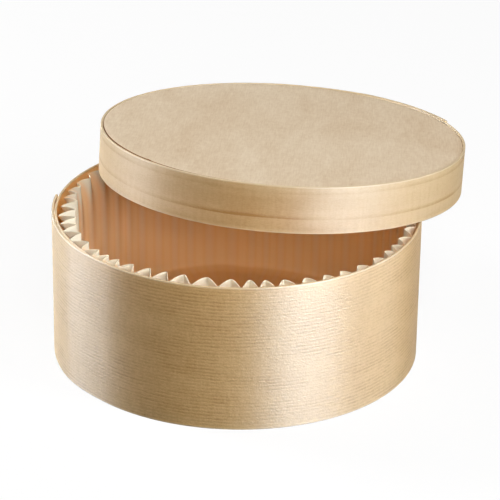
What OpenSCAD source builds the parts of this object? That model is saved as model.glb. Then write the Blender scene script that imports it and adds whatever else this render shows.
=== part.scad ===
// Round wooden baking box: a bent veneer box, its fluted paper liner and a loose lid.
// Millimetres, +Z up. The origin is the centre of the box's underside, and -Y is the front.
// The lid lies askew across the box, as it does when the box is shown half open.

/* [Box] */
// Outer diameter of the box wall, measured on a single layer
box_d = 150; // [100:1:220]
// Height of the box wall
box_h = 61.6; // [35:0.1:90]
// Thickness of the veneer that both hoops are bent from
veneer_t = 1; // [0.8:0.1:2]
// Thickness of the base disc
base_t = 3; // [2:0.1:5]

/* [Laps] */
// Length over which a hoop's outer end covers its inner end
lap_len = 44; // [30:1:60]
// Length over which the strip climbs from one layer onto the other
climb_len = 26; // [16:1:40]
// Glue gap between the two layers
glue_gap = 0.1; // [0.05:0.05:0.3]
// How far the free outer end springs away from the layer below it
end_spring = 0.5; // [0:0.1:1]
// Bearing of the wall's outer end, counter-clockwise from +X
wall_end_at = 171; // [0:1:359]
// Bearing of the lid rim's outer end, counter-clockwise from the lid's own +X
lid_end_at = 24; // [0:1:359]

/* [Lid] */
// Height of the lid's hoop
lid_h = 19.5; // [12:0.5:35]
// Play between the box wall and the lid's hoop, on the radius
lid_play = 0.65; // [0.4:0.05:1.5]
// Thickness of the lid's disc
lid_disc_t = 2.5; // [1.5:0.1:5]
// Depth of the disc's face below the top edge of the hoop
lid_recess = 0.4; // [0:0.1:1.5]

/* [Lid at rest] */
// Distance of the lid's axis from the box's axis, at the hoop's lower edge
lid_shift = 43.4; // [30:0.1:60]
// Bearing of the shift and of the lean
lid_toward = 66.6; // [0:0.1:359]
// Lean of the lid toward that bearing
lid_lean = 6.6; // [3:0.1:10]
// Height of the lid's lower edge above the rim of the box, where the two cross
lid_rest_gap = 0.6; // [0.5:0.1:1.5]

/* [Paper liner] */
// Number of flutes round the liner
flutes = 54; // [36:1:72]
// Radius of the liner's flat floor
floor_r = 70; // [50:0.5:80]
// Radial thickness of the folded paper
paper_t = 0.4; // [0.3:0.05:0.6]
// Room between the outer folds and the box wall
liner_play = 0.35; // [0.3:0.05:1]
// Depth of the liner's top edge below the rim of the box
liner_below = 0.3; // [0.3:0.1:5]
// Unevenness of the flutes, as a share of their pitch
flute_wander = 0.2; // [0:0.05:0.3]

/* [Hidden] */
$fn = 96;

wall_r = box_d / 2 - veneer_t;
lid_r = box_d / 2 + lid_play;
wood = [0.86, 0.74, 0.56];
wood_pale = [0.90, 0.80, 0.64];
paper = [0.97, 0.94, 0.88];

// The lid's lower edge crosses the rim on a line at this distance from the box's axis, along the bearing of the shift.
wall_mid = wall_r + veneer_t / 2;
lid_mid = lid_r + veneer_t / 2;
cross_at = (wall_mid * wall_mid - lid_mid * lid_mid + lid_shift * lid_shift) / (2 * lid_shift);
lid_z = box_h + lid_rest_gap - tan(lid_lean) * (lid_shift - cross_at);

// The liner is one flat paper disc drawn up into a wall, so at every height the paper that it has too much goes into the
// flutes: none at the floor, most at the top.
liner_z = base_t + 0.1;
liner_h = box_h - liner_below - liner_z;
pitch = 360 / flutes;
levels = [0, 0.035, 0.11, 0.27, 0.55, 1];
// Points of one flute, as [share of the pitch, share of the depth]: three round the inner fold, three round the outer fold.
fold = [[-0.11, -0.84], [0, -1], [0.11, -0.84], [0.39, 0.84], [0.5, 1], [0.61, 0.84]];
ring_n = flutes * len(fold);

// Half the flute depth that takes up the paper at the level k, where the middle of the wall has the radius r.
function half_depth(k, r) = PI * r / flutes / 2 * sqrt(max(0, pow((floor_r + k * liner_h) / r, 2) - 1));
top_mid = wall_r - liner_play - paper_t / 2 - half_depth(1, wall_r - 3.5) - 0.2;
function mid_r(k) = floor_r + (top_mid - floor_r) * k;
// Bearing of the point that lies p pitches round the liner. The flutes wander, so no two are alike.
function flute_at(p) = p * pitch + flute_wander * pitch * (0.9 * sin(p * pitch * 7 + 20) + 0.7 * sin(p * pitch * 13 + 200));
// A flute's own depth, a little more or less than the mean.
function flute_size(i) = 0.93 + 0.07 * sin(i * 137);

function liner_point(i, j, k, side) =
    let (f = fold[j],
         a = flute_at(i + f[0]),
         r = mid_r(k) + f[1] * half_depth(k, mid_r(k)) * flute_size(i) + side * paper_t / 2)
    [r * cos(a), r * sin(a), liner_z + k * liner_h + (side < 0 ? paper_t * (1 - k) : 0)];

// One veneer strip of thickness t and height h, wound into a hoop of inner radius r. Its outer end lies at the bearing at.
module wound_hoop(r, t, h, at) {
    lap = lap_len / r * 180 / PI;
    climb = climb_len / r * 180 / PI;
    steps = 40;
    // Inner face of the lapped length: from the outer end, over the inner end, down to the single layer.
    function ease(x) = x * x * (3 - 2 * x);
    function rise(a) = a < lap
        ? (t + glue_gap) + end_spring * pow(1 - a / lap, 3)
        : (t + glue_gap) * (1 - ease((a - lap) / climb));
    function along(i) = (lap + climb) * i / steps;
    rotate([0, 0, at + lap + climb])
        rotate_extrude(angle = 360 - climb, $fn = 180)
            translate([r, 0])
                square([t, h]);
    linear_extrude(h)
        polygon(concat(
            [for (i = [0 : steps]) (r + rise(along(i))) * [cos(at + along(i)), sin(at + along(i))]],
            [for (i = [steps : -1 : 0]) (r + t + rise(along(i))) * [cos(at + along(i)), sin(at + along(i))]]
        ));
}

// Lays a lid that stands on the origin askew across the box.
module lid_place() {
    translate([lid_shift * cos(lid_toward), lid_shift * sin(lid_toward), lid_z])
        rotate([0, 0, lid_toward])
            rotate([0, lid_lean, 0])
                rotate([0, 0, -lid_toward])
                    children();
}

// Bent wall of the box.
module box_wall() {
    color(wood)
        wound_hoop(wall_r, veneer_t, box_h, wall_end_at);
}

// Disc glued into the foot of the wall.
module box_base() {
    color(wood_pale)
        cylinder(h = base_t, r = wall_r);
}

// Fluted paper case, standing loose on the base.
module paper_liner() {
    rings = len(levels);
    // Points in order: inner face from the floor up, outer face from the floor up, then the middle of the floor.
    points = concat(
        [for (k = levels) for (i = [0 : flutes - 1]) for (j = [0 : len(fold) - 1]) liner_point(i, j, k, -1)],
        [for (k = levels) for (i = [0 : flutes - 1]) for (j = [0 : len(fold) - 1]) liner_point(i, j, k, 1)],
        [[0, 0, liner_z + paper_t], [0, 0, liner_z]]
    );
    function at(side, ring, n) = (side * rings + ring) * ring_n + n % ring_n;
    hub = 2 * rings * ring_n;
    walls = [for (q = [0 : rings - 2]) for (n = [0 : ring_n - 1]) each [
        [at(0, q, n), at(0, q + 1, n), at(0, q + 1, n + 1)],
        [at(0, q, n), at(0, q + 1, n + 1), at(0, q, n + 1)],
        [at(1, q, n), at(1, q + 1, n + 1), at(1, q + 1, n)],
        [at(1, q, n), at(1, q, n + 1), at(1, q + 1, n + 1)]
    ]];
    ends = [for (n = [0 : ring_n - 1]) each [
        [at(0, rings - 1, n), at(1, rings - 1, n), at(1, rings - 1, n + 1)],
        [at(0, rings - 1, n), at(1, rings - 1, n + 1), at(0, rings - 1, n + 1)],
        [hub, at(0, 0, n), at(0, 0, n + 1)],
        [hub + 1, at(1, 0, n + 1), at(1, 0, n)]
    ]];
    color(paper)
        polyhedron(points = points, faces = concat(walls, ends), convexity = 8);
}

// Bent skirt of the lid.
module lid_rim() {
    color(wood)
        lid_place()
            wound_hoop(lid_r, veneer_t, lid_h, lid_end_at);
}

// Disc glued into the lid's hoop, a little below its edge.
module lid_top() {
    color(wood_pale)
        lid_place()
            translate([0, 0, lid_h - lid_recess - lid_disc_t])
                cylinder(h = lid_disc_t, r = lid_r);
}

box_wall();
box_base();
paper_liner();
lid_rim();
lid_top();
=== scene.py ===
# %% [markdown]
# # A round baking box of bent poplar
# The CAD model gives the sizes and the moving bodies. This script gives each piece the look of the real
# one. We load the CAD model first, and keep its box, so that we can prove at the end that the dressed
# object hasn't grown.

# %% Load the CAD model
import math

import bpy
import numpy as np
from mathutils import Matrix, Vector


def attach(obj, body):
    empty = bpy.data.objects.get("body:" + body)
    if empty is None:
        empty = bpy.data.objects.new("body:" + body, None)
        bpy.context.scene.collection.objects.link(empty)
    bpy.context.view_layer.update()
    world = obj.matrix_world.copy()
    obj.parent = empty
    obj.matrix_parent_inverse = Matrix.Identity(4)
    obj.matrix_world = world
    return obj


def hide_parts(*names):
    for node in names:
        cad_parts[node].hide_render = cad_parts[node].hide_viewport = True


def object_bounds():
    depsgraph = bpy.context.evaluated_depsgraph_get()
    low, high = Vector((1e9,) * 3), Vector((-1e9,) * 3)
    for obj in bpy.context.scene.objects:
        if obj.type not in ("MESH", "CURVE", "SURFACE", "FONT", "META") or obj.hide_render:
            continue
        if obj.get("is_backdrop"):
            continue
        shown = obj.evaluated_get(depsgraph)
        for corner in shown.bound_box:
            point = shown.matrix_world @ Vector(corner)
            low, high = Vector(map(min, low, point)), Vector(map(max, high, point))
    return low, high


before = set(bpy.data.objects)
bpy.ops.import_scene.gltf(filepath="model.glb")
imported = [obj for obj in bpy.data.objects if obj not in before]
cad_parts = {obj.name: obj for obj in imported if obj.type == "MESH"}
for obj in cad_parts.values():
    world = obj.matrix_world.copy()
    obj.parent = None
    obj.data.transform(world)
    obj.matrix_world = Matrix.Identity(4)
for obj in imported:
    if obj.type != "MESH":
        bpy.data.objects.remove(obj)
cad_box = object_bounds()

MM = 0.001
scene = bpy.context.scene
scene.view_settings.view_transform = "Standard"
print("CAD nodes:", sorted(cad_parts))

# %% [markdown]
# ## The camera
# The photograph was taken with a long lens, from a little above, with the camera turned by less than a
# degree. The numbers come from fitting the ellipses of the rim, the foot and the lid. A long lens far away
# keeps the two ellipses of the box almost alike, which is what makes the box look calm.

# %% Place the camera
IMAGE_SIDE = 500
FOCAL_PIXELS = 2621
SENSOR_WIDTH = 36
PITCH, ROLL = math.radians(24.9), math.radians(0.9)
CAMERA_AWAY = 1078.5 * MM
LOOK_AT = Vector((5, 0, 43.1)) * MM

forward = Vector((0, math.cos(PITCH), -math.sin(PITCH)))
level_right = Vector((1, 0, 0))
level_up = level_right.cross(forward)
right = math.cos(ROLL) * level_right + math.sin(ROLL) * level_up
up = math.cos(ROLL) * level_up - math.sin(ROLL) * level_right
facing = Matrix((right, up, -forward)).transposed().to_4x4()

camera_data = bpy.data.cameras.new("Camera")
camera_data.sensor_width = SENSOR_WIDTH
camera_data.lens = SENSOR_WIDTH * FOCAL_PIXELS / IMAGE_SIDE
camera = bpy.data.objects.new("Camera", camera_data)
camera.matrix_world = Matrix.Translation(LOOK_AT - CAMERA_AWAY * forward) @ facing
scene.collection.objects.link(camera)
scene.camera = camera
print("Lens in mm:", round(camera_data.lens, 1))

# %% [markdown]
# ## The bent hoops
# Wall and lid rim are each one strip of peeled veneer, steamed, bent round and glued where its outer end
# laps over its inner end. A Screw modifier could spin a ring, but a ring has no ends. So the strip is
# swept in code, from its outer end, down over the step, once round, and in under itself. Every point
# remembers where it lay on the flat strip: along it, up it and through it. The grain is drawn in those
# three numbers, so it bends with the wood.

# %% Sizes of the hoops, in mm
VENEER = 1.0
BOX_RADIUS, BOX_HEIGHT = 74.0, 61.6
LID_RADIUS, LID_HEIGHT = 75.65, 19.5
LAP, CLIMB, GLUE = 44.0, 26.0, 0.06
WALL_END, LID_END = math.radians(171), math.radians(24)
print("Box and lid across, mm:", 2 * (BOX_RADIUS + VENEER), 2 * (LID_RADIUS + VENEER))

# %% Helpers for smooth, uneven shapes
def ease(x):
    """A smooth step from 0 to 1."""
    x = np.clip(x, 0, 1)
    return x * x * (3 - 2 * x)


def ripple(x, seed, waves):
    """A smooth, repeatable unevenness between about -1 and 1, from a few sines."""
    total = sum(np.sin(x * w + seed * (1.7 + 2.3 * i)) for i, w in enumerate(waves))
    return total / len(waves)


def smooth_mesh(name, points, faces, sharp_from):
    """A smooth mesh that stays sharp at edges above an angle in degrees."""
    mesh = bpy.data.meshes.new(name)
    mesh.from_pydata(points, [], faces)
    mesh.shade_smooth()
    mesh.set_sharp_from_angle(angle=math.radians(sharp_from))
    print(name, "faces:", len(mesh.polygons))
    return mesh


def remember(mesh, name, values):
    """Gives each point of a mesh its number, or its row of three numbers, under a name."""
    kind, field = ("FLOAT_VECTOR", "vector") if values.ndim == 2 else ("FLOAT", "value")
    mesh.attributes.new(name, kind, "POINT").data.foreach_set(field, values.astype(np.float32).ravel())


print("Smooth step, a quarter of the way:", ease(0.25))

# %% Outline of the strip's cut
EDGE_ROUND = 0.22
SAWN_EDGE = 0.5
FACE_ROWS = 14


def strip_outline(height):
    """The strip's cut as rows of (depth from the inner face, height).

    It goes up the outer face and comes down the inner one.
    """
    straight, upper = VENEER - EDGE_ROUND, height - EDGE_ROUND
    turns = np.linspace(0, math.pi / 2, 4)
    rounding = [(EDGE_ROUND * math.sin(t), EDGE_ROUND * math.cos(t)) for t in turns]
    # A row on each side of the sawn edge's limit keeps its colour off the face.
    rows = np.linspace(SAWN_EDGE + 0.1, height - SAWN_EDGE - 0.1, FACE_ROWS)
    rows = (SAWN_EDGE - 0.05, *rows, height - SAWN_EDGE + 0.05)
    outer = [(straight + s, EDGE_ROUND - c) for s, c in rounding]
    outer += [(VENEER, z) for z in rows]
    outer += [(straight + c, upper + s) for s, c in rounding]
    return np.array(outer + [(VENEER - depth, z) for depth, z in outer[::-1]])


print("Points in the wall's cut:", len(strip_outline(BOX_HEIGHT)))

# %% Faces of a swept strip
def strip_faces(columns, ring):
    """Faces between columns of points, each of them a closed ring, with a cap at both ends."""
    grid = np.arange(columns * ring).reshape(columns, ring)
    following = np.roll(grid, -1, axis=1)
    sides = np.stack([grid[:-1], grid[1:], following[1:], following[:-1]], axis=-1).reshape(-1, 4)
    i = np.arange(ring // 2 - 1)
    cap = np.stack([i, i + 1, ring - 2 - i, ring - 1 - i], axis=-1)
    return np.concatenate([sides, cap, grid[-1][cap][:, ::-1]]).tolist()


print("Faces of a strip of three columns:", len(strip_faces(3, len(strip_outline(BOX_HEIGHT)))))

# %% Sweep a lapped strip
LAP_COLUMNS, HOOP_COLUMNS = 90, 390
# The inner end goes on under this share of the climb, and is shaved down to this thickness there.
UNDER_CLIMB, SHAVED = 0.6, 0.15
WARP, SAW_WANDER = 0.06, 0.05


def bent_strip(name, radius, height, end_at, spring, seed):
    """A lapped hoop round +Z that stands on the origin, in metres.

    end_at is the bearing of its outer end. spring is how far that end stands off, at its foot and at its top.
    """
    lap, climb = LAP / radius, CLIMB / radius
    once_round = 2 * math.pi
    whole = once_round + lap + UNDER_CLIMB * climb
    over = np.linspace(0, lap + climb, LAP_COLUMNS)
    on = np.linspace(lap + climb, whole, HOOP_COLUMNS)[1:]
    a = np.concatenate([over, on])[:, None]
    depth, up_strip = strip_outline(height).T[:, None, :]
    share = up_strip / height

    def lies_over(a):
        return (VENEER + GLUE) * (1 - ease((a - lap) / climb))

    # The outer end springs away. The inner end is shaved thin, to fill the wedge under the step.
    stand_off = spring[0] + (spring[1] - spring[0]) * share ** 1.5
    lift = lies_over(a) + stand_off * np.clip(1 - a / lap, 0, 1) ** 3
    thick = np.where(a > once_round, np.clip(lies_over(a - once_round) - GLUE, SHAVED, VENEER), VENEER)
    # The hoop isn't quite round, and its upper edge isn't quite straight.
    bearing = end_at + a
    warp = WARP * ripple(bearing, seed, (2, 3, 5)) * (0.4 + share)
    r = radius + lift + depth * thick / VENEER + warp
    saw_cut = SAW_WANDER * ripple(bearing * radius, seed + 1, (0.31, 0.83, 1.9))
    z = up_strip + saw_cut * (share > 0.5)

    points = np.stack([r * np.cos(bearing), r * np.sin(bearing), z], axis=-1) * MM
    flat = np.stack(np.broadcast_arrays(a * (radius + VENEER), z, depth), axis=-1) * MM
    cut_edge = np.broadcast_to(np.minimum(up_strip, height - up_strip) < SAWN_EDGE, r.shape)
    mesh = smooth_mesh(name, points.reshape(-1, 3), strip_faces(*r.shape), sharp_from=50)
    remember(mesh, "flat_strip", flat.reshape(-1, 3))
    remember(mesh, "cut_edge", cut_edge.ravel())
    return mesh


wall_mesh = bent_strip("veneer_wall", BOX_RADIUS, BOX_HEIGHT, WALL_END, (0.1, 0.5), 3)
rim_mesh = bent_strip("veneer_lid_rim", LID_RADIUS, LID_HEIGHT, LID_END, (0.3, 0.5), 8)

# %% [markdown]
# ## The discs
# Base and lid top are sawn discs of poplar, glued into the hoops. A plain cylinder has knife-sharp edges
# and no gap to its hoop, and it is that thin dark gap that shows that lid and rim are two pieces. So each
# disc is turned in code as rings of points, with an eased edge that wanders a little inside the hoop.

# %% Sizes of the discs, in mm
BASE_THICK, LID_DISC_THICK, LID_RECESS = 3.0, 2.5, 0.4
DISC_EASED = 0.15
# The gap to the hoop: its mean, and how much it wanders.
GAP, GAP_WANDER = 0.06, 0.04
# A chip in the edge: its depth and half width.
CHIP, CHIP_HALF = 0.5, 1.6
# A wide place in the gap, beside the chip. How far beside, and its half length, are in radians.
WIDE_GAP, WIDE_BESIDE, WIDE_HALF = 0.6, 0.2, 0.4
lid_disc_foot = LID_HEIGHT - LID_RECESS - LID_DISC_THICK
print("The lid's disc lies at mm:", lid_disc_foot, "to", lid_disc_foot + LID_DISC_THICK)

# %% Faces of a turned disc
def disc_faces(columns, ring):
    """Faces between columns of points from below to above, with two middle points after the last column."""
    grid = np.arange(columns * ring).reshape(columns, ring)
    following = np.roll(grid, -1, axis=0)
    sides = np.stack([grid[:, :-1], following[:, :-1], following[:, 1:], grid[:, 1:]], axis=-1)
    under, over = columns * ring, columns * ring + 1
    fans = [[under, int(following[c, 0]), int(grid[c, 0])] for c in range(columns)]
    fans += [[over, int(grid[c, -1]), int(following[c, -1])] for c in range(columns)]
    return sides.reshape(-1, 4).tolist() + fans


print("Faces of a disc of three columns:", len(disc_faces(3, 16)))

# %% Turn a disc
DISC_COLUMNS = 360
# Only this share of the radius, at its edge, follows the gap.
EDGE_SHARE = 0.06


def sawn_disc(name, radius, thickness, foot, nick_at):
    """A disc round +Z, in metres. nick_at is the bearing of one small chip in its edge."""
    soft, corner = DISC_EASED, 0.3 * DISC_EASED
    lower = [(radius - soft, 0), (radius - corner, corner), (radius, soft)]
    edge = lower + [(r, thickness - z) for r, z in lower[::-1]]
    inward = np.array([0.15, 0.4, 0.65, 0.85, 0.96]) * (radius - soft)
    profile = np.array([(r, 0) for r in inward] + edge + [(r, thickness) for r in inward[::-1]])
    bearing = np.linspace(0, 2 * math.pi, DISC_COLUMNS + 1)[:-1]
    away = np.angle(np.exp(1j * (bearing - nick_at)))
    gap = GAP + GAP_WANDER * ripple(bearing, 5, (3, 7, 16))
    gap = gap + CHIP * np.exp(-(away * radius / CHIP_HALF) ** 2)
    gap = gap + WIDE_GAP * np.exp(-((away + WIDE_BESIDE) / WIDE_HALF) ** 2)
    near_edge = np.clip(1 - (radius - profile[:, 0]) / (EDGE_SHARE * radius), 0, 1)
    r = profile[None, :, 0] - gap[:, None] * near_edge[None, :]
    z = np.broadcast_to(foot + profile[None, :, 1], r.shape)
    x, y = r * np.cos(bearing)[:, None], r * np.sin(bearing)[:, None]
    points = np.stack([x, y, z], axis=-1).reshape(-1, 3)
    points = np.concatenate([points, [[0, 0, foot], [0, 0, foot + thickness]]]) * MM

    mesh = smooth_mesh(name, points, disc_faces(*r.shape), sharp_from=40)
    # The side of the disc, which is drawn dark brown.
    side = np.zeros(len(points))
    side[:-2] = np.tile(profile[:, 0] > radius - 0.5 * soft, DISC_COLUMNS)
    remember(mesh, "cut_edge", side)
    remember(mesh, "board", points)
    return mesh


base_mesh = sawn_disc("poplar_base", BOX_RADIUS, BASE_THICK, 0, math.radians(60))
top_mesh = sawn_disc("poplar_lid_top", LID_RADIUS, LID_DISC_THICK, lid_disc_foot, math.radians(-137))

# %% [markdown]
# ## Laying the lid askew
# The lid is made upright at the origin, where its grain is easy to think about, and then its points are
# carried to the place it has in the CAD model: shifted toward the back right and leaning that way. The
# objects themselves stay unturned, because the export expects every object at the origin.

# %% Carry the lid to its place
LID_SHIFT, LID_TOWARD, LID_LEAN, LID_GAP = 43.4, math.radians(66.6), math.radians(6.6), 0.6
wall_middle, rim_middle = BOX_RADIUS + VENEER / 2, LID_RADIUS + VENEER / 2
crossing = (wall_middle ** 2 - rim_middle ** 2 + LID_SHIFT ** 2) / (2 * LID_SHIFT)
lid_foot = BOX_HEIGHT + LID_GAP - math.tan(LID_LEAN) * (LID_SHIFT - crossing)
lid_at = Vector((LID_SHIFT * math.cos(LID_TOWARD), LID_SHIFT * math.sin(LID_TOWARD), lid_foot)) * MM
there, back = Matrix.Rotation(LID_TOWARD, 4, "Z"), Matrix.Rotation(-LID_TOWARD, 4, "Z")
lid_place = Matrix.Translation(lid_at) @ there @ Matrix.Rotation(LID_LEAN, 4, "Y") @ back
# The disc was glued in askew: at the front left it is flush with the hoop, opposite it lies lower.
FLUSH_AT = math.radians(-155)
half_recess = LID_RECESS / 2
tilt = Matrix.Rotation(half_recess / LID_RADIUS, 4, Vector((math.sin(FLUSH_AT), -math.cos(FLUSH_AT), 0)))
top_mesh.transform(Matrix.Translation((0, 0, half_recess * MM)) @ tilt)
for mesh in (rim_mesh, top_mesh):
    mesh.transform(lid_place)
print("Lid foot at mm:", round(lid_foot, 2))

# %% [markdown]
# ## Helpers for materials
# Colours are written as the hex values that a paint program shows. Blender's shaders work in linear light,
# so one function turns the first into the second. Another adds a node, with its settings, its values and
# its links, to any node tree, so that a tree reads as a list of steps. The third starts an empty material.

# %% Colours, nodes and empty materials
def linear(hex_colour):
    """An sRGB hex colour as linear red, green, blue and alpha."""
    parts = [int(hex_colour[i:i + 2], 16) / 255 for i in (1, 3, 5)]
    return (*[c / 12.92 if c <= 0.04045 else ((c + 0.055) / 1.055) ** 2.4 for c in parts], 1)


def add(tree, kind, into=None, out=0, **settings):
    """Adds a node and returns its output of that name or number, or all of them if out is None.

    into gives each input, by name or number, a value or the socket that feeds it.
    """
    node = tree.nodes.new(kind)
    for key, value in settings.items():
        setattr(node, key, value)
    for key, value in (into or {}).items():
        if isinstance(value, bpy.types.NodeSocket):
            tree.links.new(value, node.inputs[key])
        else:
            node.inputs[key].default_value = value
    return node.outputs if out is None else node.outputs[out]


def empty_material(name):
    """A material without nodes."""
    material = bpy.data.materials.new(name)
    material.use_nodes = True
    material.node_tree.nodes.clear()
    return material


print("Middle grey in linear light:", round(linear("#808080")[0], 3))

# %% [markdown]
# ## Poplar veneer
# Peeled poplar is pale, with faint brown lines where the knife crossed the growth rings. On a strip peeled
# from the log they run along it, 1.5 to 3 mm apart, and waver slowly. Between them lie short fibres that
# only show as a silky streak. The fibres also make the wood shine across their length, as brushed metal
# does, so the shader is anisotropic. A stretched noise alone would give streaks without any order, so the
# lines come from a wave with a real spacing, and noises of a real size make it waver, fade and come back.

# %% Grain on the flat strip
# A wave texture at scale 1 has a band every tenth of pi.
BAND = math.pi / 10


def peeled_grain(tree, line_gap, waver):
    """The sockets of the wood's pattern, by name. line_gap and waver are in mm."""
    flat = add(tree, "ShaderNodeAttribute", attribute_name="flat_strip", out="Vector")
    along, up_strip, depth = add(tree, "ShaderNodeSeparateXYZ", {0: flat}, out=None)

    # The lines waver: a noise with patches of 50 by 25 mm pushes them up and down.
    per_patch = (1 / (50 * MM), 1 / (25 * MM), 0)
    slow_at = add(tree, "ShaderNodeVectorMath", {0: flat, 1: per_patch}, operation="MULTIPLY")
    slow = add(tree, "ShaderNodeTexNoise", {"Vector": slow_at, "Scale": 1, "Detail": 3}, out="Fac")
    height = add(tree, "ShaderNodeMath", {0: slow, 1: 2 * waver * MM, 2: up_strip}, operation="MULTIPLY_ADD")
    wavy = add(tree, "ShaderNodeCombineXYZ", {0: along, 1: height, 2: depth})

    # Noises with patches of a real size in mm: along the strip, up it and through it. Some lines fade out,
    # and in calm places nearly all do. The broad one is for the tone of the wood. Real fibres are half as
    # long as the dashes drawn here and far thinner, too fine to show, and specks lie among them. The knife
    # chatters, which leaves bars that stand across the strip.
    noise = {}
    for label, where, size, detail, roughness in (
            ("fade", wavy, (7, 1.6, 0), 2, 0.5), ("calm", wavy, (35, 12, 0), 2, 0.5),
            ("broad", wavy, (30, 8, 0), 3, 0.55), ("fibres", wavy, (2, 0.5, 0.5), 2, 0.5),
            ("specks", wavy, (0.8, 0.5, 0.5), 1, 0.5), ("bars", flat, (1.5, 12, 0), 2, 0.6)):
        per_patch = [1 / (s * MM) if s else 0 for s in size]
        at = add(tree, "ShaderNodeVectorMath", {0: where, 1: per_patch}, operation="MULTIPLY")
        noise[label] = add(tree, "ShaderNodeTexNoise", {"Vector": at, "Scale": 1, "Detail": detail,
                                                        "Roughness": roughness}, out="Fac")

    lines = add(tree, "ShaderNodeTexWave", {
        "Vector": wavy, "Scale": BAND / (line_gap * MM), "Distortion": 1.5, "Detail": 2, "Detail Scale": 0.3,
        "Detail Roughness": 0.6}, out="Fac", wave_type="BANDS", bands_direction="Y", wave_profile="SIN")
    for label, least, most, at_least in (("fade", 0.3, 0.65, 0.2), ("calm", 0.4, 0.6, 0.35)):
        kept = add(tree, "ShaderNodeMapRange", {"Value": noise[label], "From Min": least, "From Max": most,
                                                "To Min": at_least})
        lines = add(tree, "ShaderNodeMath", {0: lines, 1: kept}, operation="MULTIPLY")
    fuzz = add(tree, "ShaderNodeMath", {0: noise["specks"], 1: 0.8, 2: noise["fibres"]},
               operation="MULTIPLY_ADD")
    print("Nodes of the grain:", len(tree.nodes))
    return {"along": along, "height": height, "depth": depth, "lines": lines, "fuzz": fuzz,
            "broad": noise["broad"], "bars": noise["bars"]}


# %% Single rings and stains
def with_rings(tree, dark, wood, rings):
    """Adds single dark rings.

    Each is (height, half width, strength, length from one strong place to the next, one of those places).
    """
    for middle, half_width, strength, comes_every, strongest_at in rings:
        off = add(tree, "ShaderNodeMath", {0: wood["height"], 1: middle * MM}, operation="SUBTRACT")
        off = add(tree, "ShaderNodeMath", {0: off, 1: half_width * MM}, operation="DIVIDE")
        # One side of a growth ring is sharp and the other fades into the early wood.
        soft_side = add(tree, "ShaderNodeMapRange", {"Value": off, "From Min": 3.5, "From Max": 0},
                        interpolation_type="SMOOTHSTEP")
        sharp_side = add(tree, "ShaderNodeMapRange", {"Value": off, "From Min": -0.6, "From Max": 0.1},
                         interpolation_type="SMOOTHSTEP")
        ring = add(tree, "ShaderNodeMath", {0: soft_side, 1: sharp_side}, operation="MULTIPLY")
        faint = add(tree, "ShaderNodeMapRange", {"Value": wood["broad"], "From Min": 0.35, "From Max": 0.6,
                                                 "To Min": 0.55})
        ring = add(tree, "ShaderNodeMath", {0: ring, 1: faint}, operation="MULTIPLY")
        # It comes and goes along the strip.
        past = add(tree, "ShaderNodeMath", {0: wood["along"], 1: strongest_at * MM}, operation="SUBTRACT")
        per_metre = 2 * math.pi / (comes_every * MM)
        turn = add(tree, "ShaderNodeMath", {0: past, 1: per_metre}, operation="MULTIPLY")
        swing = add(tree, "ShaderNodeMath", {0: turn}, operation="COSINE")
        comes = add(tree, "ShaderNodeMapRange", {"Value": swing, "From Min": -1, "To Min": 0.3})
        ring = add(tree, "ShaderNodeMath", {0: ring, 1: comes}, operation="MULTIPLY")
        dark = add(tree, "ShaderNodeMath", {0: ring, 1: strength, 2: dark}, operation="MULTIPLY_ADD",
                   use_clamp=True)
    print("Rings:", len(rings))
    return dark


def with_painted_shade(tree, dark, wood, painted_shade):
    """Adds painted shade along the strip: darker patches where it falls into a dark band. Each is (middle,
    half length, strength).
    """
    for middle, half_length, strength in painted_shade:
        off = add(tree, "ShaderNodeMath", {0: wood["along"], 1: middle * MM}, operation="SUBTRACT")
        off = add(tree, "ShaderNodeMath", {0: off}, operation="ABSOLUTE")
        shade_patch = add(tree, "ShaderNodeMapRange", {"Value": off, "From Min": half_length * MM, "From Max": 0,
                    "To Max": strength}, interpolation_type="SMOOTHSTEP")
        patchy = add(tree, "ShaderNodeMapRange", {"Value": wood["broad"], "From Min": 0.3, "From Max": 0.6,
                                                  "To Min": 0.5, "To Max": 1.2})
        dark = add(tree, "ShaderNodeMath", {0: shade_patch, 1: patchy, 2: dark}, operation="MULTIPLY_ADD")
    print("Painted_shade_patches:", len(painted_shade))
    return dark


# %% How dark the wood is
def how_dark(tree, wood, line_depth, fibre_depth, rings, painted_shade):
    """Its lines and rings, its broad tone, the painted shade, the marks of the knife, and the fibres."""
    dark = add(tree, "ShaderNodeMath", {0: wood["lines"], 1: line_depth}, operation="MULTIPLY")
    dark = with_rings(tree, dark, wood, rings)
    tone = add(tree, "ShaderNodeMapRange", {"Value": wood["broad"], "From Min": 0.3, "From Max": 0.7,
                                            "To Min": -0.06, "To Max": 0.14})
    dark = add(tree, "ShaderNodeMath", {0: dark, 1: tone}, operation="ADD")
    dark = with_painted_shade(tree, dark, wood, painted_shade)
    bars = add(tree, "ShaderNodeMapRange", {"Value": wood["bars"], "From Min": 0.3, "From Max": 0.7,
                                            "To Min": -0.09, "To Max": 0.09})
    dark = add(tree, "ShaderNodeMath", {0: dark, 1: bars}, operation="ADD")
    streak = add(tree, "ShaderNodeMapRange", {"Value": wood["fuzz"], "From Min": 0.6, "From Max": 1.2,
                                              "To Min": -fibre_depth, "To Max": 1.2 * fibre_depth})
    dark = add(tree, "ShaderNodeMath", {0: dark, 1: streak}, operation="ADD", use_clamp=True)
    print("Nodes up to the darkness:", len(tree.nodes))
    return dark


# %% Poplar veneer shader
# Fibres shine face on, and little more at a glancing angle. A low specular level with a tint above 1 evens
# the gloss out.
EVEN_GLOSS = 5


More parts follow.
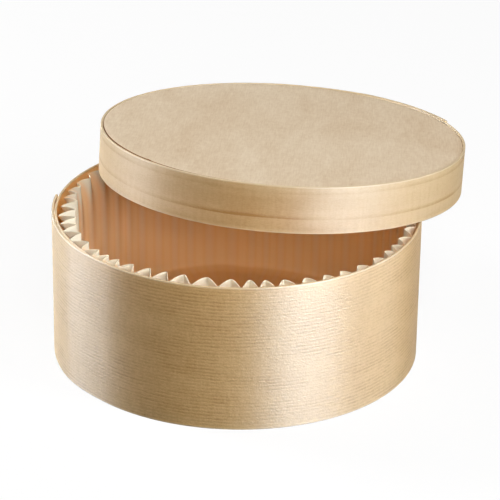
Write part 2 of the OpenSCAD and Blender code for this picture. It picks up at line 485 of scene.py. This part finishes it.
def poplar_veneer(name, pale, line, line_gap, line_depth, fibre_depth, relief, waver, rough, shine, comb,
                  warm_inside, rings, painted_shade):
    """Bare peeled poplar, cut with a knife and left raw: pale and lined, with a combed satin sheen.

    line_gap, waver, rings and painted_shade are in mm. line_depth and fibre_depth say how dark lines and
    fibres are, and relief how much they stand out. rough is the roughness in the grooves and on the fibres,
    shine the strength of the sheen and comb how far it is drawn out. warm_inside is how far the inner face is
    painted warm, as painted light from the wood, and how much more light it lets through.
    """
    material = empty_material(name)
    tree = material.node_tree
    wood = peeled_grain(tree, line_gap, waver)
    cut_edge = add(tree, "ShaderNodeAttribute", attribute_name="cut_edge", out="Fac")

    dark = how_dark(tree, wood, line_depth, fibre_depth, rings, painted_shade)
    colour = add(tree, "ShaderNodeMix", {"Factor": dark, "A": linear(pale), "B": linear(line)},
                 data_type="RGBA", out="Result")
    # A sawn edge is fuzzy and looks paler. The paler colour also stands for the thin bright line of light
    # along the top edges: in part a painted highlight.
    colour = add(tree, "ShaderNodeMix", {"Factor": cut_edge, "A": colour, "B": linear("#DEC79F")},
                 data_type="RGBA", out="Result")
    # The inner face is painted a warmer tone: painted light, for the warm light that reaches it through the
    # wood.
    inner_face = add(tree, "ShaderNodeMapRange", {"Value": wood["depth"], "From Min": 0.3 * MM,
                                                  "From Max": 0.05 * MM, "To Max": warm_inside})
    not_edge = add(tree, "ShaderNodeMath", {0: 1, 1: cut_edge}, operation="SUBTRACT")
    inner_face = add(tree, "ShaderNodeMath", {0: inner_face, 1: not_edge}, operation="MULTIPLY")
    colour = add(tree, "ShaderNodeMix", {"Factor": inner_face, "A": colour, "B": linear("#F8D5A0")},
                 data_type="RGBA", out="Result")

    # The lines are shallow grooves, rougher than the fibres between them.
    groove = add(tree, "ShaderNodeMath", {0: wood["lines"], 1: -0.5, 2: wood["fuzz"]},
                 operation="MULTIPLY_ADD")
    bump = add(tree, "ShaderNodeBump", {"Strength": relief, "Distance": 0.1 * MM, "Height": groove})
    gloss = add(tree, "ShaderNodeMapRange", {"Value": groove, "From Min": 0.2, "From Max": 1.0,
                                             "To Min": rough[0], "To Max": rough[1]})
    # The fibres run round the box. A quarter turn puts the sheen across them.
    fibre_way = add(tree, "ShaderNodeTangent", direction_type="RADIAL", axis="Z")
    shader = add(tree, "ShaderNodeBsdfPrincipled", {
        "Base Color": colour, "Roughness": gloss, "Normal": bump, "Tangent": fibre_way, "IOR": 1.5,
        "Specular IOR Level": shine / EVEN_GLOSS, "Specular Tint": (EVEN_GLOSS, EVEN_GLOSS, EVEN_GLOSS, 1),
        "Anisotropic": comb, "Anisotropic Rotation": 0.25})
    # A millimetre of poplar lets a little warm light through.
    through = add(tree, "ShaderNodeBsdfTranslucent", {"Color": linear("#FFE4BA")})
    inside = add(tree, "ShaderNodeMapRange", {"Value": inner_face, "To Min": 0.12, "To Max": 1.2})
    mixed = add(tree, "ShaderNodeMixShader", {0: inside, 1: shader, 2: through})
    add(tree, "ShaderNodeOutputMaterial", {"Surface": mixed}, out=None)
    print(name, "nodes:", len(tree.nodes))
    return material


# %% Dress the hoops
def piece(mesh, material, body, node):
    """Shows a mesh in place of a CAD node, riding on that node's body."""
    obj = bpy.data.objects.new(mesh.name, mesh)
    scene.collection.objects.link(obj)
    mesh.materials.clear()
    mesh.materials.append(material)
    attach(obj, body)
    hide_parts(node)
    return obj


# The wall's darker patch at 100 mm is painted shade, where the wall falls into its dark band.
wall_wood = poplar_veneer(
    "peeled_poplar_wall", pale="#D8B77E", line="#B28A50", line_gap=1.45, line_depth=0.78, fibre_depth=0.3,
    relief=1.0, waver=0.8, rough=(0.58, 0.40), shine=0.35, comb=0.8, warm_inside=0.7,
    rings=[], painted_shade=[(100, 50, 0.2)])
# The rim's darker patch at 322 mm is painted shade too, across its dark band at the front.
rim_wood = poplar_veneer(
    "peeled_poplar_rim", pale="#D6BA88", line="#AE8044", line_gap=3.1, line_depth=0.06, fibre_depth=0.14,
    relief=0.35, waver=0.7, rough=(0.57, 0.46), shine=0.2, comb=0.5, warm_inside=0.2,
    rings=[(6.6, 0.5, 0.95, 100, 309), (17.2, 0.5, 0.5, 200, 415), (2.2, 0.8, 0.3, 130, 300)],
    painted_shade=[(322, 60, 0.32)])
piece(wall_mesh, wall_wood, "box", "box_wall")
piece(rim_mesh, rim_wood, "lid", "lid_rim")

# %% [markdown]
# ## Poplar board
# The discs are cut from a flat board, so their fibres run straight across, and the face is greyer and
# duller than the veneer. From a step away it shows only fine short hairs and some soft cloudy patches, so
# three noises of a real size are enough, without any lines.

# %% Poplar board shader
def poplar_board(name, pale, dark_tone, turned):
    """Bare poplar board, sawn and sanded: dull, with short hairs and soft clouds.

    turned is the bearing of its fibres.
    """
    material = empty_material(name)
    tree = material.node_tree
    spot = add(tree, "ShaderNodeAttribute", attribute_name="board", out="Vector")
    fibre_way = add(tree, "ShaderNodeMapping", {"Vector": spot, "Rotation": (0, 0, -turned)})
    # Each noise has patches of a real size in mm, and a range that it adds to the darkness.
    grey, noise = 0, {}
    for label, size, detail, roughness, bent, least, most in (
            ("hairs", (7, 0.6, 0.6), 3, 0.6, 0, 0, 0.42), ("clouds", (50, 22, 20), 4, 0.6, 0.6, -0.12, 0.4),
            ("mottle", (2.2, 2.2, 2.2), 2, 0.7, 0, -0.14, 0.14)):
        per_patch = [1 / (s * MM) for s in size]
        at = add(tree, "ShaderNodeVectorMath", {0: fibre_way, 1: per_patch}, operation="MULTIPLY")
        noise[label] = add(tree, "ShaderNodeTexNoise", {"Vector": at, "Scale": 1, "Detail": detail,
                           "Roughness": roughness, "Distortion": bent}, out="Fac")
        part = add(tree, "ShaderNodeMapRange", {"Value": noise[label], "From Min": 0.3, "From Max": 0.7,
                                                "To Min": least, "To Max": most})
        grey = add(tree, "ShaderNodeMath", {0: grey, 1: part}, operation="ADD")
    colour = add(tree, "ShaderNodeMix", {"Factor": grey, "A": linear(pale), "B": linear(dark_tone)},
                 data_type="RGBA", out="Result")
    # The side of the disc is drawn dark brown, so the gap to the hoop shows as a thin dark line.
    cut_edge = add(tree, "ShaderNodeAttribute", attribute_name="cut_edge", out="Fac")
    colour = add(tree, "ShaderNodeMix", {"Factor": cut_edge, "A": colour, "B": linear("#946338")},
                 data_type="RGBA", out="Result")
    bump = add(tree, "ShaderNodeBump", {"Strength": 0.3, "Distance": 0.12 * MM, "Height": noise["hairs"]})
    shader = add(tree, "ShaderNodeBsdfPrincipled", {"Base Color": colour, "Roughness": 0.85, "Normal": bump,
                                                    "IOR": 1.5, "Specular IOR Level": 0.05})
    add(tree, "ShaderNodeOutputMaterial", {"Surface": shader}, out=None)
    print(name, "nodes:", len(tree.nodes))
    return material


board_wood = poplar_board("sawn_poplar_board", "#EBD7BA", "#D3B692", math.radians(86))
piece(base_mesh, board_wood, "box", "box_base")
piece(top_mesh, board_wood, "lid", "lid_top")

# %% [markdown]
# ## Baking paper
# The liner is plain white baking paper, matt and a little see-through. In the box it hardly looks white:
# the light in there has come through the veneer or off it, so wall and floor of the paper glow orange, and
# only the tips of the flutes, which stand in free light, are white. That light is too weak to carry the
# colour by itself, so the paper's inner face is painted with it, as painted light: most on the floor, less
# on the inner folds, which stand away from the wood, and not at the tips.

# %% Baking paper shader
def baking_paper():
    """White baking paper, pressed and uncoated: matt, with warm light from the wood painted on its inner
    face, and pale at the tips.
    """
    material = empty_material("white_baking_paper")
    tree = material.node_tree
    place = add(tree, "ShaderNodeTexCoord", out="Object")
    # Fluff of 1.2 mm. The real fibres are finer, too fine to show.
    fluff = add(tree, "ShaderNodeTexNoise", {"Vector": place, "Scale": 1 / (1.2 * MM), "Detail": 3,
                                             "Roughness": 0.6}, out="Fac")
    risen = add(tree, "ShaderNodeAttribute", attribute_name="risen", out="Fac")
    fold = add(tree, "ShaderNodeAttribute", attribute_name="fold", out="Fac")
    # The paper's inner face is painted orange, as painted warm light from the wood. An outer fold is painted
    # lighter still: painted light, for the light that comes through the paper on both sides of it, against
    # the shade in its crease.
    painted_fold_glow = add(tree, "ShaderNodeMapRange", {"Value": fold, "From Min": -0.3, "From Max": 0.9},
                  interpolation_type="SMOOTHSTEP")
    colour = add(tree, "ShaderNodeMix", {"Factor": painted_fold_glow, "A": linear("#FCD196"), "B": linear("#FFD8A2")},
                 data_type="RGBA", out="Result")
    # An inner fold is painted a pale band, more so higher up: a painted highlight, where its ridge catches
    # the light.
    painted_ridge_highlight = add(tree, "ShaderNodeMapRange", {"Value": fold, "From Min": 0.1, "From Max": -0.95,
                                             "To Max": 0.65})
    higher = add(tree, "ShaderNodeMapRange", {"Value": risen, "From Min": 0.1, "From Max": 0.9,
                                              "To Min": 0.4})
    painted_ridge_highlight = add(tree, "ShaderNodeMath", {0: painted_ridge_highlight, 1: higher}, operation="MULTIPLY")
    # The floor lies on the base and is painted the warmest: painted light, for the light that comes through
    # the wood below it.
    flat = add(tree, "ShaderNodeMapRange", {"Value": risen, "From Min": 0.03, "From Max": 0, "To Max": 0.5})
    # The face that is turned to the wood is the paper's own white, and so are the tips, farther down at an
    # inner fold.
    outer_side = add(tree, "ShaderNodeAttribute", attribute_name="outer_side", out="Fac")
    stands_off = add(tree, "ShaderNodeMath", {0: fold, 1: -0.1, 2: risen}, operation="MULTIPLY_ADD")
    bare = add(tree, "ShaderNodeMapRange", {"Value": stands_off, "From Min": 0.85, "From Max": 1.05},
               interpolation_type="SMOOTHSTEP")
    # The ridge band and the floor tint are painted light. The outer side and the tips are the paper's own
    # white.
    for share, tint in ((painted_ridge_highlight, "#FFE9D0"), (flat, "#F6C07C"), (outer_side, "#F6EEDC"), (bare, "#F9F6E4")):
        colour = add(tree, "ShaderNodeMix", {"Factor": share, "A": colour, "B": linear(tint)},
                     data_type="RGBA", out="Result")
    bump = add(tree, "ShaderNodeBump", {"Strength": 0.15, "Distance": 0.05 * MM, "Height": fluff})
    shader = add(tree, "ShaderNodeBsdfPrincipled", {"Base Color": colour, "Roughness": 0.7, "Normal": bump,
                                                    "IOR": 1.5, "Specular IOR Level": 0.1})
    through = add(tree, "ShaderNodeBsdfTranslucent", {"Color": linear("#FBEBD2")})
    glows = add(tree, "ShaderNodeMapRange", {"Value": risen, "From Min": 0.8, "From Max": 1, "To Max": 0.2})
    mixed = add(tree, "ShaderNodeMixShader", {0: glows, 1: shader, 2: through})
    add(tree, "ShaderNodeOutputMaterial", {"Surface": mixed}, out=None)
    print(material.name, "nodes:", len(tree.nodes))
    return material


paper = baking_paper()

# %% [markdown]
# ## The fluted paper liner
# The liner is one round sheet of baking paper, drawn up into a wall. A sheet has more paper at its edge
# than the wall has room for, and the rest goes into the flutes: none at the floor, most at the top. That
# is a rule, so Geometry Nodes draw it. A grid of points is bent round: one way along the grid is the way
# round, the other is the way from the middle of the floor, out, and up the wall.

# %% Inputs of the fluted case
FLUTES, POINTS_PER_FLUTE, ROWS = 54, 14, 40
# Lengths in mm.
LENGTHS = {"Fold radius": 67.2, "Flare": 0.6, "Corner": 1.2, "Foot height": 3.3, "Wall height": 57.2,
           "Top reach": 73.6, "Lopsided": 1.3, "Set back": 3, "Tip wave": 1.3, "Puff": 0.5, "Dip": 0.4}
SHARES = {"Low flute": 0.15, "Wander": 0.15, "Fold sharpness": 0.9}
case = bpy.data.node_groups.new("Fluted paper case", "GeometryNodeTree")
case.interface.new_socket("Flutes", in_out="INPUT", socket_type="NodeSocketInt").default_value = FLUTES
metres = {label: length * MM for label, length in LENGTHS.items()}
for label, value in {**metres, **SHARES}.items():
    case.interface.new_socket(label, in_out="INPUT", socket_type="NodeSocketFloat").default_value = value
case.interface.new_socket("Paper", in_out="INPUT", socket_type="NodeSocketMaterial")
case.interface.new_socket("Geometry", in_out="OUTPUT", socket_type="NodeSocketGeometry")
given = add(case, "NodeGroupInput", out=None)
print("Inputs of the case:", len(given) - 1)

# %% Lay out the sheet
FLOOR_SHARE = 0.2
# Above 1 it puts more rows near the foot.
CROWDED = 1.2
columns = add(case, "ShaderNodeMath", {0: given["Flutes"], 1: POINTS_PER_FLUTE, 2: 1},
              operation="MULTIPLY_ADD")
sheet = add(case, "GeometryNodeMeshGrid", {"Size X": 1, "Size Y": 1, "Vertices X": columns,
                                           "Vertices Y": ROWS}, out="Mesh")
spot = add(case, "ShaderNodeSeparateXYZ", {0: add(case, "GeometryNodeInputPosition")}, out=None)
round_share = add(case, "ShaderNodeMath", {0: spot[0], 1: 0.5}, operation="ADD")
out_share = add(case, "ShaderNodeMath", {0: spot[1], 1: 0.5}, operation="ADD")
# How far out on the floor, and how far up the wall.
on_floor = add(case, "ShaderNodeMapRange", {"Value": out_share, "From Max": FLOOR_SHARE})
up_wall = add(case, "ShaderNodeMapRange", {"Value": out_share, "From Min": FLOOR_SHARE})
up_wall = add(case, "ShaderNodeMath", {0: up_wall, 1: CROWDED}, operation="POWER")
print("Points on the sheet:", (FLUTES * POINTS_PER_FLUTE + 1) * ROWS)

# %% The way round, with flutes that wander
# Two waves round the case: how many, where they begin and how strong they are, as in the CAD model.
turn = add(case, "ShaderNodeMath", {0: round_share, 1: 2 * math.pi}, operation="MULTIPLY")
sway = 0
for waves, begins, strength in ((7, 20, 0.9), (13, 200, 0.7)):
    wave = add(case, "ShaderNodeMath", {0: turn, 1: waves, 2: math.radians(begins)}, operation="MULTIPLY_ADD")
    wave = add(case, "ShaderNodeMath", {0: wave}, operation="SINE")
    sway = add(case, "ShaderNodeMath", {0: wave, 1: strength, 2: sway}, operation="MULTIPLY_ADD")
pitch = add(case, "ShaderNodeMath", {0: 2 * math.pi, 1: given["Flutes"]}, operation="DIVIDE")
sway = add(case, "ShaderNodeMath", {0: sway, 1: pitch}, operation="MULTIPLY")
bearing = add(case, "ShaderNodeMath", {0: sway, 1: given["Wander"], 2: turn}, operation="MULTIPLY_ADD")
eastward = add(case, "ShaderNodeMath", {0: bearing}, operation="COSINE")
northward = add(case, "ShaderNodeMath", {0: bearing}, operation="SINE")
print("One flute in degrees:", round(360 / FLUTES, 2))

# %% The fold: a rounded zigzag, -1 at an inner fold and 1 at an outer one
flute = add(case, "ShaderNodeMath", {0: round_share, 1: given["Flutes"]}, operation="MULTIPLY")
fold = add(case, "ShaderNodeMath", {0: flute, 1: 2 * math.pi}, operation="MULTIPLY")
fold = add(case, "ShaderNodeMath", {0: fold}, operation="COSINE")
fold = add(case, "ShaderNodeMath", {0: fold, 1: given["Fold sharpness"]}, operation="MULTIPLY")
fold = add(case, "ShaderNodeMath", {0: fold}, operation="ARCSINE")
whole = add(case, "ShaderNodeMath", {0: given["Fold sharpness"]}, operation="ARCSINE")
whole = add(case, "ShaderNodeMath", {0: whole, 1: -1}, operation="MULTIPLY")
fold = add(case, "ShaderNodeMath", {0: fold, 1: whole}, operation="DIVIDE")
# Each flute has its own size, a little below 1, from this share of a flute before its inner fold. The odd
# angle keeps neighbours unlike.
BEFORE_FOLD, ODD_ANGLE, UNLIKE = 0.25, math.radians(137), 0.05
own = add(case, "ShaderNodeMath", {0: flute, 1: BEFORE_FOLD}, operation="ADD")
own = add(case, "ShaderNodeMath", {0: own}, operation="FLOOR")
own = add(case, "ShaderNodeMath", {0: own, 1: ODD_ANGLE}, operation="MULTIPLY")
own = add(case, "ShaderNodeMath", {0: own}, operation="SINE")
size = add(case, "ShaderNodeMath", {0: own, 1: UNLIKE, 2: 1 - UNLIKE}, operation="MULTIPLY_ADD")
print("Nodes up to the fold:", len(case.nodes))

# %% Where the inner folds stand
# The case was pushed in askew, so its flutes are deeper on the left than on the right.
askew = add(case, "ShaderNodeMath", {0: eastward, 1: given["Lopsided"]}, operation="MULTIPLY")
fold_at = add(case, "ShaderNodeMath", {0: given["Fold radius"], 1: askew}, operation="ADD")
# At the back left it lies close to the wood, over some 70 degrees, so the flutes are shallow there.
BACK_LEFT = math.radians(130)
back_left = add(case, "ShaderNodeMath", {0: bearing, 1: BACK_LEFT}, operation="SUBTRACT")
back_left = add(case, "ShaderNodeMath", {0: back_left}, operation="COSINE")
back_left = add(case, "ShaderNodeMapRange", {"Value": back_left, "From Min": 0.71, "From Max": 0.84},
                interpolation_type="SMOOTHSTEP")
fold_at = add(case, "ShaderNodeMath", {0: back_left, 1: given["Set back"], 2: fold_at},
              operation="MULTIPLY_ADD")
# Inner folds stand upright, round off into the floor and flare at the top.
FOOT_SHARE, FLARE_POWER = 0.08, 4
low = add(case, "ShaderNodeMapRange", {"Value": up_wall, "From Min": FOOT_SHARE, "From Max": 0})
low = add(case, "ShaderNodeMath", {0: low, 1: low}, operation="MULTIPLY")
low = add(case, "ShaderNodeMath", {0: low, 1: given["Corner"]}, operation="MULTIPLY")
inner = add(case, "ShaderNodeMath", {0: fold_at, 1: low}, operation="SUBTRACT")
high = add(case, "ShaderNodeMath", {0: up_wall, 1: FLARE_POWER}, operation="POWER")
inner = add(case, "ShaderNodeMath", {0: high, 1: given["Flare"], 2: inner}, operation="MULTIPLY_ADD")
print("Nodes up to the inner folds:", len(case.nodes))

# %% How deep the flutes are
# Half their depth at the top, where the outer folds reach the wood.
depth = add(case, "ShaderNodeMath", {0: given["Top reach"], 1: fold_at}, operation="SUBTRACT")
depth = add(case, "ShaderNodeMath", {0: depth, 1: given["Flare"]}, operation="SUBTRACT")
depth = add(case, "ShaderNodeMath", {0: depth, 1: 0.5}, operation="MULTIPLY")
depth = add(case, "ShaderNodeMath", {0: depth, 1: size}, operation="MULTIPLY")
# There is no depth at the floor. It grows slowly, to the share "Low flute", and then steeply near the top.
STEEP_POWER = 7
steep = add(case, "ShaderNodeMath", {0: up_wall, 1: STEEP_POWER}, operation="POWER")
lower = add(case, "ShaderNodeMath", {0: up_wall, 1: steep}, operation="SUBTRACT")
steep = add(case, "ShaderNodeMath", {0: lower, 1: given["Low flute"], 2: steep}, operation="MULTIPLY_ADD")
depth = add(case, "ShaderNodeMath", {0: depth, 1: steep}, operation="MULTIPLY")
# The outer folds lie two of these half depths farther out than the inner ones.
beyond = add(case, "ShaderNodeMath", {0: fold, 1: 1}, operation="ADD")
radius = add(case, "ShaderNodeMath", {0: depth, 1: beyond, 2: inner}, operation="MULTIPLY_ADD")
radius = add(case, "ShaderNodeMath", {0: radius, 1: on_floor}, operation="MULTIPLY")
print("Nodes up to the radius:", len(case.nodes))

# %% How high the edge stands
# The sheet wasn't drawn up evenly: its edge is highest at the front and rises and falls on the way round.
HIGHEST_AT, TIP_WAVES = math.radians(258), 3
from_front = add(case, "ShaderNodeMath", {0: bearing, 1: HIGHEST_AT}, operation="SUBTRACT")
near_front = add(case, "ShaderNodeMath", {0: from_front}, operation="COSINE")
near_front = add(case, "ShaderNodeMath", {0: near_front, 1: 0.5, 2: 0.5}, operation="MULTIPLY_ADD")
uneven = add(case, "ShaderNodeMath", {0: from_front, 1: TIP_WAVES}, operation="MULTIPLY")
uneven = add(case, "ShaderNodeMath", {0: uneven}, operation="COSINE")
uneven = add(case, "ShaderNodeMath", {0: uneven, 1: near_front}, operation="MULTIPLY")
rise = add(case, "ShaderNodeMath", {0: uneven, 1: given["Tip wave"], 2: given["Wall height"]},
           operation="MULTIPLY_ADD")
# Where it was pushed outward it also stands higher, by this share of the way.
HIGHER = 0.3
rise = add(case, "ShaderNodeMath", {0: askew, 1: HIGHER, 2: rise}, operation="MULTIPLY_ADD")
# Along each flute the edge dips toward the outer fold and bulges between the folds.
dip = add(case, "ShaderNodeMath", {0: fold, 1: given["Dip"]}, operation="MULTIPLY")
rise = add(case, "ShaderNodeMath", {0: rise, 1: dip}, operation="SUBTRACT")
puff = add(case, "ShaderNodeMath", {0: fold, 1: fold}, operation="MULTIPLY")
puff = add(case, "ShaderNodeMath", {0: 1, 1: puff}, operation="SUBTRACT")
rise = add(case, "ShaderNodeMath", {0: puff, 1: given["Puff"], 2: rise}, operation="MULTIPLY_ADD")
height = add(case, "ShaderNodeMath", {0: up_wall, 1: rise, 2: given["Foot height"]}, operation="MULTIPLY_ADD")
print("Nodes up to the height:", len(case.nodes))

# %% Put the points in their places
x = add(case, "ShaderNodeMath", {0: radius, 1: eastward}, operation="MULTIPLY")
y = add(case, "ShaderNodeMath", {0: radius, 1: northward}, operation="MULTIPLY")
place = add(case, "ShaderNodeCombineXYZ", {0: x, 1: y, 2: height})
# On the left the case stands off the wood, so there the paper's shader leaves out the painted warm light
# farther down and shows the paper bare.
BARE_AT = math.radians(188)
free = add(case, "ShaderNodeMath", {0: bearing, 1: BARE_AT}, operation="SUBTRACT")
free = add(case, "ShaderNodeMath", {0: free}, operation="COSINE")
free = add(case, "ShaderNodeMapRange", {"Value": free, "From Min": 0.95, "From Max": 0.99, "To Max": 0.3})
risen = add(case, "ShaderNodeMath", {0: up_wall, 1: free, 2: up_wall}, operation="MULTIPLY_ADD")
shape = sheet
for label, value in (("risen", risen), ("fold", fold)):
    shape = add(case, "GeometryNodeStoreNamedAttribute", {"Geometry": shape, "Name": label, "Value": value},
                data_type="FLOAT", domain="POINT")
shape = add(case, "GeometryNodeSetPosition", {"Geometry": shape, "Position": place})
shape = add(case, "GeometryNodeMergeByDistance", {"Geometry": shape, "Distance": 0.01 * MM})
shape = add(case, "GeometryNodeSetShadeSmooth", {"Geometry": shape})
shape = add(case, "GeometryNodeRealizeInstances", {"Geometry": shape})
shape = add(case, "GeometryNodeSetMaterial", {"Geometry": shape, "Material": given["Paper"]})
add(case, "NodeGroupOutput", {"Geometry": shape}, out=None)
print("Nodes in the case:", len(case.nodes))

# %% Draw the liner, and give the paper its thickness
# Real baking paper is about 0.1 mm. Twice that still looks thin, and keeps its two faces apart.
PAPER_THICK = 0.22 * MM
maker = bpy.data.objects.new("liner_maker", bpy.data.meshes.new("liner_maker"))
scene.collection.objects.link(maker)
nodes = maker.modifiers.new("Fluted paper case", "NODES")
nodes.node_group = case
sockets = {s.name: s.identifier for s in case.interface.items_tree if s.in_out == "INPUT"}
nodes[sockets["Paper"]] = paper
nodes[sockets["Flutes"]] = FLUTES
thick = maker.modifiers.new("Paper thickness", "SOLIDIFY")
thick.thickness = PAPER_THICK
thick.offset = 0
ready = maker.evaluated_get(bpy.context.evaluated_depsgraph_get())
liner_mesh = bpy.data.meshes.new_from_object(ready)
liner_mesh.name = "fluted_paper_liner"
liner_mesh.set_sharp_from_angle(angle=math.radians(75))
bpy.data.objects.remove(maker)
print("Liner faces:", len(liner_mesh.polygons))

# %% Tell the paper's two faces apart
# Solidify puts the points of one face of the paper first and those of the other face after them.
spots = np.empty((len(liner_mesh.vertices), 3), dtype=np.float32)
liner_mesh.vertices.foreach_get("co", spots.ravel())
first, second = np.array_split(np.hypot(spots[:, 0], spots[:, 1]), 2)
outer_face = [0, 1] if second.mean() > first.mean() else [1, 0]
remember(liner_mesh, "outer_side", np.repeat(outer_face, [len(first), len(second)]))
print("Mean radius of its two faces, mm:", round(first.mean() / MM, 2), round(second.mean() / MM, 2))
liner = piece(liner_mesh, paper, "liner", "paper_liner")
print("Liner in mm:", [round(v / MM, 1) for v in liner.dimensions])

# %% [markdown]
# ## Floor and light
# The object stands on a white table in front of white. Two tall soft boxes light it: one at the front
# right, one behind the left shoulder. Two fills lift the front and the lid without a shine of their own.
# Five lamps, four of them slightly cool, do the opposite: they show only as gloss, and draw the satin bands
# on the veneer. Between the two brightest bands the wall falls into a darker one, and that is what shows it
# is round. Table and world are white only to the eye and to gloss, so they add little light of their own
# and the colours keep their depth.

# %% White table
TABLE_HALF = 3
TABLE_GLOW = 0.9


def looked_at(tree):
    """1 for rays from the camera, from gloss or through a surface, and 0 for those that only bring light."""
    path = add(tree, "ShaderNodeLightPath", out=None)
    seen = add(tree, "ShaderNodeMath", {0: path["Is Camera Ray"], 1: path["Is Glossy Ray"]}, operation="ADD")
    return add(tree, "ShaderNodeMath", {0: seen, 1: path["Is Transmission Ray"]}, operation="ADD",
               use_clamp=True)


table_mesh = bpy.data.meshes.new("table")
corners = [(x * TABLE_HALF, y * TABLE_HALF, 0) for x, y in ((-1, -1), (1, -1), (1, 1), (-1, 1))]
table_mesh.from_pydata(corners, [], [(0, 1, 2, 3)])
table = bpy.data.objects.new("table", table_mesh)
scene.collection.objects.link(table)
# Matt white paint: it shows nothing but the box's soft shadow.
white = empty_material("white_table")
tree = white.node_tree
seen = looked_at(tree)
tone = add(tree, "ShaderNodeMix", {"Factor": seen, "A": linear("#505050"), "B": linear("#FFFFFF")},
           data_type="RGBA", out="Result")
matt = add(tree, "ShaderNodeBsdfDiffuse", {"Color": tone})
glow = add(tree, "ShaderNodeEmission", {"Color": linear("#FFFFFF"), "Strength": 1})
share = add(tree, "ShaderNodeMath", {0: seen, 1: TABLE_GLOW}, operation="MULTIPLY")
shown = add(tree, "ShaderNodeMixShader", {0: share, 1: matt, 2: glow})
add(tree, "ShaderNodeOutputMaterial", {"Surface": shown}, out=None)
table_mesh.materials.append(white)
table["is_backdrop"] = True
print("Table across, m:", 2 * TABLE_HALF)

# %% White world
WORLD_LIGHT = 0.02
world = bpy.data.worlds.new("studio")
scene.world = world
world.use_nodes = True
tree = world.node_tree
tree.nodes.clear()
strength = add(tree, "ShaderNodeMapRange", {"Value": looked_at(tree), "To Min": WORLD_LIGHT, "To Max": 1})
sky = add(tree, "ShaderNodeBackground", {"Color": linear("#FFFFFF"), "Strength": strength})
add(tree, "ShaderNodeOutputWorld", {"Surface": sky}, out=None)
print("Light of the world:", WORLD_LIGHT)

# %% Soft boxes, fills and sheen
LAMP_AWAY = 1.2
LAMPS_FACE = Vector((0, 0, 0.04))
# Wide and tall, in metres. The sheen lamps differ in width.
SOFT_BOX, FILL, SHEEN_TALL = (0.4, 0.6), (0.5, 0.3), 0.5
COOL, NEUTRAL = "#EEF7FF", "#FFFFFF"


def soft_box(name, bearing, rise, size, strength, tint=NEUTRAL):
    """An area lamp that faces the box. bearing is to the right of the camera and rise is up, in degrees.

    At strength 1 a white face that is turned to it renders white.
    """
    lamp = bpy.data.lights.new(name, "AREA")
    lamp.shape = "RECTANGLE"
    lamp.size, lamp.size_y = size
    lamp.energy = strength * math.pi ** 2 * LAMP_AWAY ** 2
    lamp.color = linear(tint)[:3]
    side, tall = math.radians(bearing), math.radians(rise)
    toward = Vector((math.sin(side) * math.cos(tall), -math.cos(side) * math.cos(tall), math.sin(tall)))
    obj = bpy.data.objects.new(name, lamp)
    aim = toward.to_track_quat("Z", "Y").to_matrix().to_4x4()
    obj.matrix_world = Matrix.Translation(LAMPS_FACE + LAMP_AWAY * toward) @ aim
    scene.collection.objects.link(obj)
    return obj


soft_box("front_right_soft_box", 58, 26, SOFT_BOX, 0.60)
soft_box("back_left_soft_box", -113, 26, SOFT_BOX, 0.74)
for name, bearing, rise, strength in (("front_fill", 5, 27, 0.265), ("high_fill", 20, 52, 0.3)):
    soft_box(name, bearing, rise, FILL, strength).visible_glossy = False
for name, bearing, rise, wide, strength, tint in (
        ("front_sheen", 24, 12, 0.4, 3.3, COOL), ("front_right_sheen", 46, 8, 0.75, 11.2, COOL),
        ("right_sheen", 89, 12, 0.9, 4.4, COOL), ("back_left_sheen", -99, 12, 0.65, 8.1, NEUTRAL),
        ("behind_sheen", -134, 12, 0.6, 2.2, COOL)):
    lamp = soft_box(name, bearing, rise, (wide, SHEEN_TALL), strength, tint)
    lamp.visible_diffuse = False
    lamp.visible_transmission = False
print("Lamps:", len(bpy.data.lights))

# %% Measure the growth and finish
visual_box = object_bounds()
grown = max(abs(a - b) for cad, visual in zip(cad_box, visual_box) for a, b in zip(cad, visual))
print("Largest difference between the two boxes, mm:", round(grown / MM, 3))
